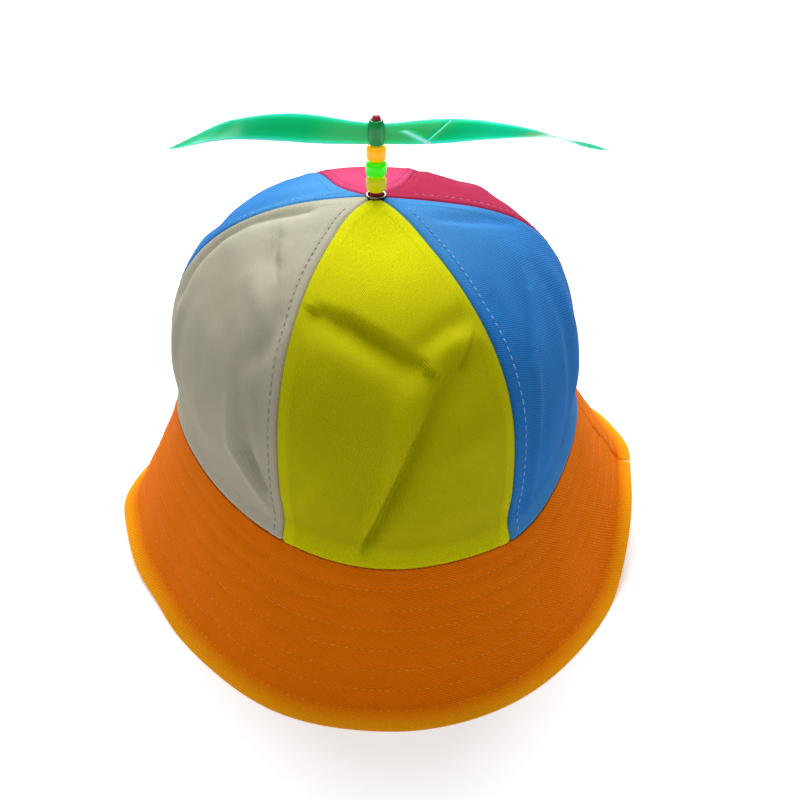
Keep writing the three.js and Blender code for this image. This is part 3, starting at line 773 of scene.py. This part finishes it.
def buildBrim(half):
    def outer(across, up):
        places, _, _, _, cloth = brimSurface(half, across, up)
        return places, cloth

    def inner(across, up):
        places, _, level, slope, cloth = brimSurface(half, across, up)
        inset = brim["cloth"] / np.sin(slope)
        return places - outAndUp(level, inset, inset * 0), cloth

    mesh = shellMesh(half["name"] + "_cloth", brim["columns"], brim["rows"], outer, inner)
    piece = addObject(half["name"] + "_cloth", mesh, cloths["orange"])
    rounding = piece.modifiers.new("edge", "BEVEL")
    rounding.width = brim["edgeRound"] * mm
    rounding.segments = 3
    rounding.limit_method = "ANGLE"
    rounding.angle_limit = math.radians(40)
    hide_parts(half["name"])
    rows = []
    across = np.linspace(brimThread["start"], brimThread["end"], 900)
    for share in stitchShares:
        points, away, _, _, _ = brimSurface(half, across, np.full(across.shape, 1 - share))
        rows.append((points, away))
    mesh = stitchMesh(half["name"] + "_stitching", rows, brimThread)
    addObject(half["name"] + "_stitching", mesh, threads["orange"])


brimHalves = [
    {"name": "brim_front", "middle": 0.0, "seed": 2.4},
    {"name": "brim_back", "middle": math.pi, "seed": 6.8},
]
for half in brimHalves:
    buildBrim(half)
print("brim made")


# Eyelet, stem, beads and propeller stand on the crown's top
crownTop = crown["seamHeight"] + crown["height"]
stack = {
    "shoulderRadius": 2.3, "shoulderRise": 1.9, "shoulderEdge": 0.3, "rodRadius": 1.1,
    "headRadius": 1.75, "headHeight": 1.7,
    "discRadius": 7.0, "discHeight": 1.5, "bore": 1.4, "gap": 0.3,
    "beadHeight": 5.9, "beadSquareness": 4.4, "boreRim": 0.15, "boreEdge": 0.2,
    "hubHeight": 9.5, "hubRadius": 3.3, "hubEnd": 2.5, "hubPower": 2.6,
}
beadBase = crownTop + stack["shoulderRise"] + stack["gap"]
beadPitch = stack["beadHeight"] + stack["gap"]
hubBase = beadBase + 3 * beadPitch
headBase = hubBase + stack["hubHeight"] + stack["gap"]


def arc(centreR, centreZ, radius, fromDeg, toDeg, steps):
    turns = np.radians(np.linspace(fromDeg, toDeg, steps))
    return [(centreR + radius * math.cos(t), centreZ + radius * math.sin(t)) for t in turns]


# Eyelet: a rolled ring above the cloth and a flat flange under it
eyelet = {
    "bore": 3.2, "neck": 3.5, "flange": 4.0, "back": 4.8, "backHeight": 0.6,
    "above": 0.3, "below": 0.6, "neckDrop": 0.1, "rollRise": 0.6, "rollFrom": -50, "rollTo": 180,
}
seat = crownTop + eyelet["above"]
under = crownTop - crown["cloth"] - eyelet["below"]
rollRadius = (eyelet["flange"] - eyelet["bore"]) / 2
ringProfile = [
    (eyelet["bore"], under - eyelet["backHeight"]), (eyelet["back"], under - eyelet["backHeight"]),
    (eyelet["back"], under), (eyelet["neck"], under), (eyelet["neck"], seat - eyelet["neckDrop"]),
] + arc(eyelet["bore"] + rollRadius, seat + rollRadius * eyelet["rollRise"], rollRadius,
        eyelet["rollFrom"], eyelet["rollTo"], 14)
eyeletPiece = addObject("eyelet_ring", turnedMesh("eyelet_ring", ringProfile),
                        plateMaterial("nickelPlatedBrass"))
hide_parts("eyelet")

redPlastic = mouldedMaterial("redPolystyrene", "#a01030", "#e03060", subsurface=0.2, scatter=0.6)
discTop = under - eyelet["backHeight"] - stack["gap"]
shoulderTop = crownTop + stack["shoulderRise"]
stemProfile = [
    (0, discTop - stack["discHeight"]), (stack["discRadius"], discTop - stack["discHeight"]),
    (stack["discRadius"], discTop), (stack["shoulderRadius"], discTop),
    (stack["shoulderRadius"], shoulderTop - stack["shoulderEdge"]),
    (stack["shoulderRadius"] - stack["shoulderEdge"], shoulderTop),
    (stack["rodRadius"], shoulderTop), (stack["rodRadius"], headBase),
] + [(stack["headRadius"] * math.cos(t), headBase + stack["headHeight"] * math.sin(t))
     for t in np.linspace(0, math.pi / 2, 10)]
stemPiece = addObject("stem_moulding", turnedMesh("stem_moulding", stemProfile, 40), redPlastic)
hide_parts("stem")

# Beads: squarish barrels of neon polystyrene
beads = [
    {"name": "bead_lower", "radius": 3.95, "slot": "plastic_olive",
     "dark": "#b0aa00", "light": "#c8c400"},
    {"name": "bead_middle", "radius": 4.05, "slot": "plastic_green",
     "dark": "#20d800", "light": "#3cf000"},
    {"name": "bead_upper", "radius": 3.85, "slot": "plastic_amber",
     "dark": "#ff9c00", "light": "#ffbc00"},
]
# the beads' emission is a painted glow, for light shining through them
beadPaintedGlow = 0.5
for index, bead in enumerate(beads):
    low = beadBase + index * beadPitch
    middle = low + stack["beadHeight"] / 2
    power = 2 / stack["beadSquareness"]
    barrel = []
    for t in np.linspace(-math.pi / 2, math.pi / 2, 27):
        r = bead["radius"] * math.cos(t) ** power if abs(t) < math.pi / 2 - 1e-6 else 0
        z = middle + math.copysign(abs(math.sin(t)) ** power, t) * stack["beadHeight"] / 2
        if r > stack["bore"] + stack["boreRim"]:
            barrel.append((r, z))
    boreEnds = (low + stack["boreEdge"], low + stack["beadHeight"] - stack["boreEdge"])
    profile = [(stack["bore"], boreEnds[0])] + barrel + [(stack["bore"], boreEnds[1])]
    material = mouldedMaterial(bead["name"] + "Polystyrene", bead["dark"], bead["light"],
                               paintedGlow=beadPaintedGlow)
    mesh = turnedMesh(bead["name"] + "_barrel", profile, 56)
    piece = addObject(bead["name"] + "_barrel", mesh, material)
    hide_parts(bead["name"])
print("stem and beads made")


# Propeller: two twisted, drooping blades of thin plastic on a barrel hub
propeller = {
    "rightArm": 86.5, "leftArm": 78.0, "rightDroop": 5.2, "leftDroop": 7.2,
    "chord": 11.3, "thickness": 1.1, "edge": 0.45, "arch": 3.0, "turn": math.radians(-7.7),
    "tipStart": 0.97, "tipLeast": 0.02,  # the last of the blade is rounded off
    "thinning": 0.5, "edgeShare": 0.98, "edgeHighlight": 1.8, "creaseFade": 0.1, "blend": 0.03,
    "columns": 200, "rows": 20,
}
# Sections of a blade: how far along its arm, its width as a share of the chord, its pitch in
# degrees, how far it arches up and how far it droops, as shares of arch and droop
sectionColumns = {"along": 0, "chord": 1, "pitch": 2, "arch": 3, "droop": 4}
bladeSections = np.array([
    (0.0, 0.73, 88, 0.0, 0.0),
    (0.1, 0.8, 87, 0.15, 0.0),
    (0.2, 0.91, 84, 0.35, 0.0),
    (0.3, 0.96, 77, 0.55, 0.0),
    (0.4, 0.93, 69, 0.68, 0.0),
    (0.5, 0.88, 59, 0.65, 0.0),
    (0.6, 0.8, 49, 0.52, 0.0),
    (0.68, 0.75, 39, 0.32, 0.0),
    (0.77, 0.73, 22, 0.1, 0.15),
    (0.88, 0.62, 7, 0.0, 0.54),
    (0.95, 0.4, 2, 0.0, 0.82),
    (1.0, 0.06, 0, 0.0, 1.0),
])


def sectionValue(along, name):
    # a soft curve through the sections, so that the blade has no corners
    values = bladeSections[:, sectionColumns[name]]
    stations = bladeSections[:, sectionColumns["along"]]
    spread = np.linspace(-propeller["blend"], propeller["blend"], 7)
    return sum(np.interp(np.clip(along + s, 0, 1), stations, values) for s in spread) / len(spread)


def bladePoint(blade, along, across, face):
    chord = sectionValue(along, "chord") * propeller["chord"]
    tip = np.clip((1 - along) / (1 - propeller["tipStart"]), propeller["tipLeast"], 1)
    chord = chord * np.where(along > propeller["tipStart"], np.sqrt(tip), 1)
    pitch = np.radians(sectionValue(along, "pitch"))
    rise = sectionValue(along, "arch") * propeller["arch"]
    rise = rise - sectionValue(along, "droop") * blade["droop"]
    off = across - 0.5
    swell = np.sqrt(1 - 4 * off * off * propeller["edgeShare"])
    body = mix(propeller["edge"], propeller["thickness"], swell)
    thin = body * mix(1, propeller["thinning"], along) * face / 2
    # painted light: the plastic is painted paler towards its edges, where light shines through, and
    # white across the creases, as painted highlights
    paintedHighlight = np.abs(off) * propeller["edgeHighlight"]
    for crease in blade["creases"]:
        distance = (along - crease["along"]) * blade["arm"] - off * crease["slant"]
        bent = np.exp(-((distance / crease["width"]) ** 2))
        low, high = crease["reach"]
        fade = propeller["creaseFade"]
        bent = bent * smooth(off, low - fade, low) * (1 - smooth(off, high, high + fade))
        thin = thin + crease["height"] * bent
        paintedHighlight = np.maximum(paintedHighlight, crease["paintedHighlight"] * bent)
    upward = np.stack([off * 0, -np.cos(pitch), np.sin(pitch)], -1)
    outward = np.stack([off * 0, -np.sin(pitch), -np.cos(pitch)], -1)
    root = (stack["bore"] + stack["hubEnd"]) / 2
    middle = hubBase + bladeSections[0, sectionColumns["chord"]] * propeller["chord"] / 2
    place = np.stack([mix(root, blade["arm"], along), off * 0, middle + rise], -1)
    place = place + upward * (off * chord)[..., None] + outward * thin[..., None]
    turn = propeller["turn"] + blade["turn"]
    x = place[..., 0] * math.cos(turn) - place[..., 1] * math.sin(turn)
    y = place[..., 0] * math.sin(turn) + place[..., 1] * math.cos(turn)
    # the attribute that holds a weave on cloth holds the place on the blade and its painted
    # highlight here
    marks = np.stack([along * blade["arm"], off * chord, paintedHighlight], -1)
    return np.stack([x, y, place[..., 2]], -1), marks


# Soft PVC, moulded thin: glossy and translucent, with painted light: paler towards its edges and
# white across two creases, as painted highlights
def bladeMaterial():
    material, tree, shader = newMaterial("greenPvc")
    marks = node(tree, "ShaderNodeAttribute", {"attribute_name": "placeAndLight"})
    parts = node(tree, "ShaderNodeSeparateXYZ", _0=marks.outputs["Vector"])
    stir = addPart(tree, parts.outputs["Z"], noiseNode(tree, 60.0, 3.0), 0.12)
    greensAndHighlights = [(0.0, "#00b878"), (0.62, "#04c884"), (0.86, "#34eaba"), (0.93, "#8cffe4"),
              (1.0, "#f4fffc")]
    fill(tree, shader,
         {"Transmission Weight": 0.08, "Subsurface Weight": 1.0,
          "Subsurface Radius": (0.6, 1.0, 0.9), "Subsurface Scale": 3.0 * mm, "IOR": 1.5},
         {"Base Color": ramp(tree, stir, [(stop, linear(colour)) for stop, colour in greensAndHighlights]),
          "Roughness": rangeNode(tree, noiseNode(tree, 500.0, 4.0), 0.16, 0.3)})
    return material


greenPvc = bladeMaterial()
blades = [
    {"name": "blade_right", "arm": propeller["rightArm"], "droop": propeller["rightDroop"],
     "turn": 0.0,
     "creases": [
         # each crease is a small dent with a painted white highlight along it
         {"along": 0.25, "slant": 11.0, "width": 0.75, "height": -0.3,
          "reach": (-0.3, 0.4), "paintedHighlight": 0.97},
         {"along": 0.12, "slant": -16.0, "width": 4.2, "height": -0.3,
          "reach": (-0.45, 0.1), "paintedHighlight": 0.94},
     ]},
    {"name": "blade_left", "arm": propeller["leftArm"], "droop": propeller["leftDroop"],
     "turn": math.pi, "creases": []},
]
for blade in blades:
    mesh = shellMesh(blade["name"], propeller["columns"], propeller["rows"],
                     lambda along, across: bladePoint(blade, along, across, 1),
                     lambda along, across: bladePoint(blade, along, across, -1))
    piece = addObject(blade["name"], mesh, greenPvc, "propeller")
    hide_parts("propeller")

hubProfile = [(stack["bore"], hubBase)]
for t in np.linspace(-1, 1, 21):
    r = mix(stack["hubEnd"], stack["hubRadius"], 1 - abs(t) ** stack["hubPower"])
    z = hubBase + stack["hubHeight"] * (0.5 + 0.5 * t)
    hubProfile.append((r, z))
hubProfile.append((stack["bore"], hubBase + stack["hubHeight"]))
# the hub's emission is a painted glow, for light shining through it
hubMaterial = mouldedMaterial("hubPvc", "#009048", "#08b464", subsurface=0.4, scatter=1.5,
                              paintedGlow=0.12, clear=0.3)
hubPiece = addObject("propeller_hub", turnedMesh("propeller_hub", hubProfile, 48), hubMaterial,
                     "propeller")
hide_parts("propeller")
print("propeller made")


# Floor, light and camera
bm = bmesh.new()
bmesh.ops.create_grid(bm, x_segments=1, y_segments=1, size=4)
floorMesh = bpy.data.meshes.new("table")
bm.to_mesh(floorMesh)
bm.free()
table = bpy.data.objects.new("table", floorMesh)
scene.collection.objects.link(table)
# White backdrop paper, matt, and bright enough to be seen as white
tableMaterial, tableTree, tableShader = newMaterial("whitePaper")
fill(tableTree, tableShader,
     {"Base Color": linear("#f6f6f8"), "Roughness": 0.9,
      "Emission Color": linear("#ffffff"), "Emission Strength": 0.32}, {})
floorMesh.materials.append(tableMaterial)

world = bpy.data.worlds.new("studio")
scene.world = world
world.use_nodes = True
worldTree = world.node_tree
backdrop = worldTree.nodes["Background"]
backdrop.inputs[0].default_value = (1, 1, 1, 1)
# a white wall where the picture looks past the table, which gives little light itself
seen = node(worldTree, "ShaderNodeLightPath")
wall = rangeNode(worldTree, seen.outputs["Is Camera Ray"], 0.09, 0.95)
worldTree.links.new(wall, backdrop.inputs[1])

lampAim = Vector((0, 0, 0.06))
softBoxes = [
    {"name": "overhead", "at": (0, 0, 1.55), "size": 1.3, "energy": 11.8},
    {"name": "behind", "at": (0.06, 1.06, 1.14), "size": 1.3, "energy": 30.6},
]
for box in softBoxes:
    lamp = bpy.data.lights.new(box["name"], "AREA")
    lamp.shape = "DISK"
    lamp.size = box["size"]
    lamp.energy = box["energy"]
    lampObject = bpy.data.objects.new(box["name"], lamp)
    lampObject.location = box["at"]
    shining = lampAim - lampObject.location
    lampObject.rotation_euler = shining.to_track_quat("-Z", "Y").to_euler()
    scene.collection.objects.link(lampObject)
scene.view_settings.view_transform = "Standard"

# The photograph's view of the hat
view = {"aim": (10.12, -1.37, 51.45), "distance": 511.05, "elevation": math.radians(33.58),
        "yaw": math.radians(-7.7), "roll": math.radians(0.81), "lens": 54, "sensor": 36}
flatReach = view["distance"] * math.cos(view["elevation"])
aim = Vector(view["aim"])
eye = aim + Vector((flatReach * math.sin(view["yaw"]), -flatReach * math.cos(view["yaw"]),
                    view["distance"] * math.sin(view["elevation"])))
cameraData = bpy.data.cameras.new("camera")
cameraData.lens = view["lens"]
cameraData.sensor_width = view["sensor"]
camera = bpy.data.objects.new("camera", cameraData)
camera.matrix_world = (Matrix.Translation(eye * mm)
                       @ (aim - eye).to_track_quat("-Z", "Y").to_matrix().to_4x4()
                       @ Matrix.Rotation(view["roll"], 4, "Z"))
scene.collection.objects.link(camera)
scene.camera = camera
print("floor, light and camera made")
